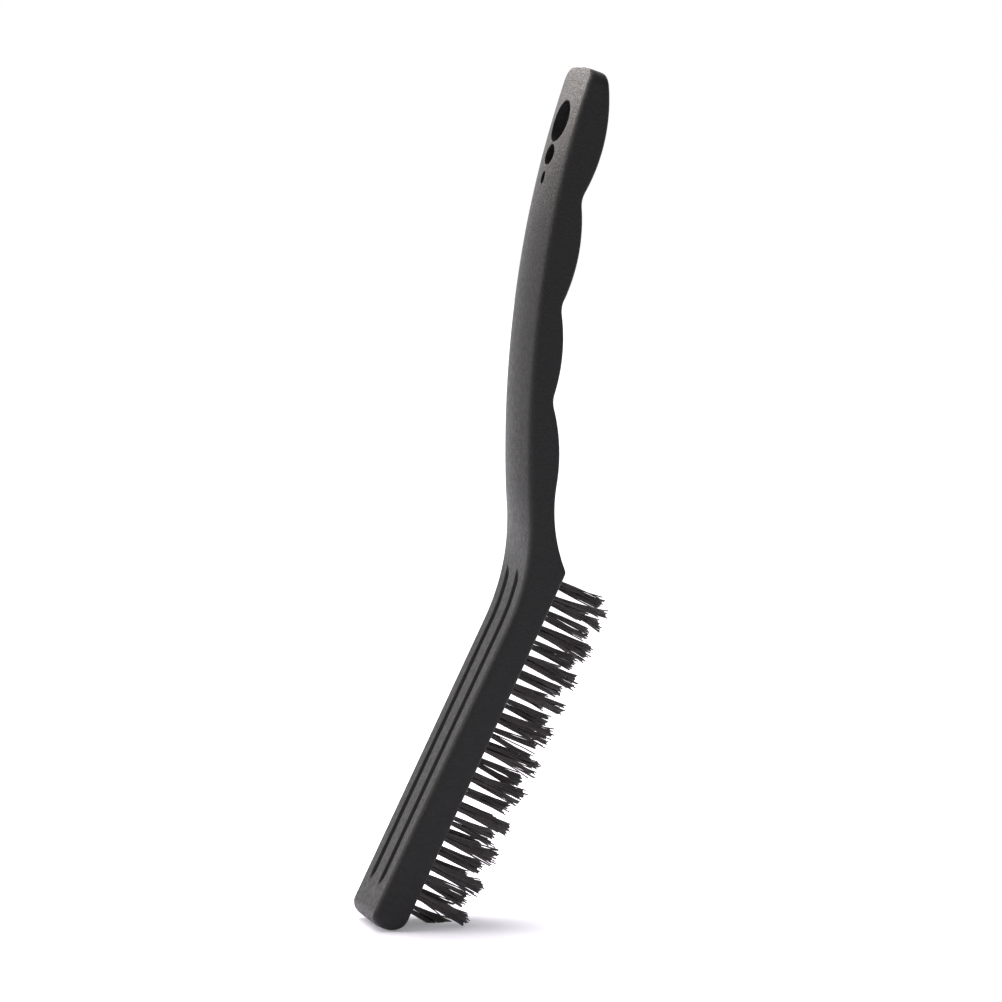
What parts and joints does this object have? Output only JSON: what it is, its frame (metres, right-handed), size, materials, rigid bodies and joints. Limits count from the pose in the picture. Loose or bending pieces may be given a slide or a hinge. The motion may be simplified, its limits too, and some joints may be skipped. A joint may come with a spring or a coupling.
{
  "type": "wire brush",
  "caption": "One-handed scratch brush: staggered rows of black filament tufts in a straight head, a neck bend and a raised handle with finger swells and hanging holes.",
  "frame": {"origin": "middle of the box's underside, with the brush lying on one flat side", "axes": "+X along the chord from the toe to the handle end, +Y towards the back of the head and away from the bristles, +Z across the bristle rows, up from the side that it lies on"},
  "size_m": [0.216, 0.042, 0.025],
  "materials": {
    "body": "black moulded plastic with a fine spark-textured skin",
    "filament": "stiff black synthetic filament, slightly glossy",
    "anchor_wire": "drawn flat wire, plain"
  },
  "bodies": {
    "root": {"brush_body": "body", "tuft_lower_01": "filament", "tuft_lower_02": "filament", "tuft_lower_03": "filament", "tuft_lower_04": "filament", "tuft_lower_05": "filament", "tuft_lower_06": "filament", "tuft_lower_07": "filament", "tuft_lower_08": "filament", "tuft_lower_09": "filament", "tuft_lower_10": "filament", "tuft_lower_11": "filament", "tuft_middle_01": "filament", "tuft_middle_02": "filament", "tuft_middle_03": "filament", "tuft_middle_04": "filament", "tuft_middle_05": "filament", "tuft_middle_06": "filament", "tuft_middle_07": "filament", "tuft_middle_08": "filament", "tuft_middle_09": "filament", "tuft_middle_10": "filament", "tuft_middle_11": "filament", "tuft_middle_12": "filament", "tuft_upper_01": "filament", "tuft_upper_02": "filament", "tuft_upper_03": "filament", "tuft_upper_04": "filament", "tuft_upper_05": "filament", "tuft_upper_06": "filament", "tuft_upper_07": "filament", "tuft_upper_08": "filament", "tuft_upper_09": "filament", "tuft_upper_10": "filament", "tuft_upper_11": "filament", "anchors_lower": "anchor_wire", "anchors_middle": "anchor_wire", "anchors_upper": "anchor_wire"}
  },
  "joints": []
}
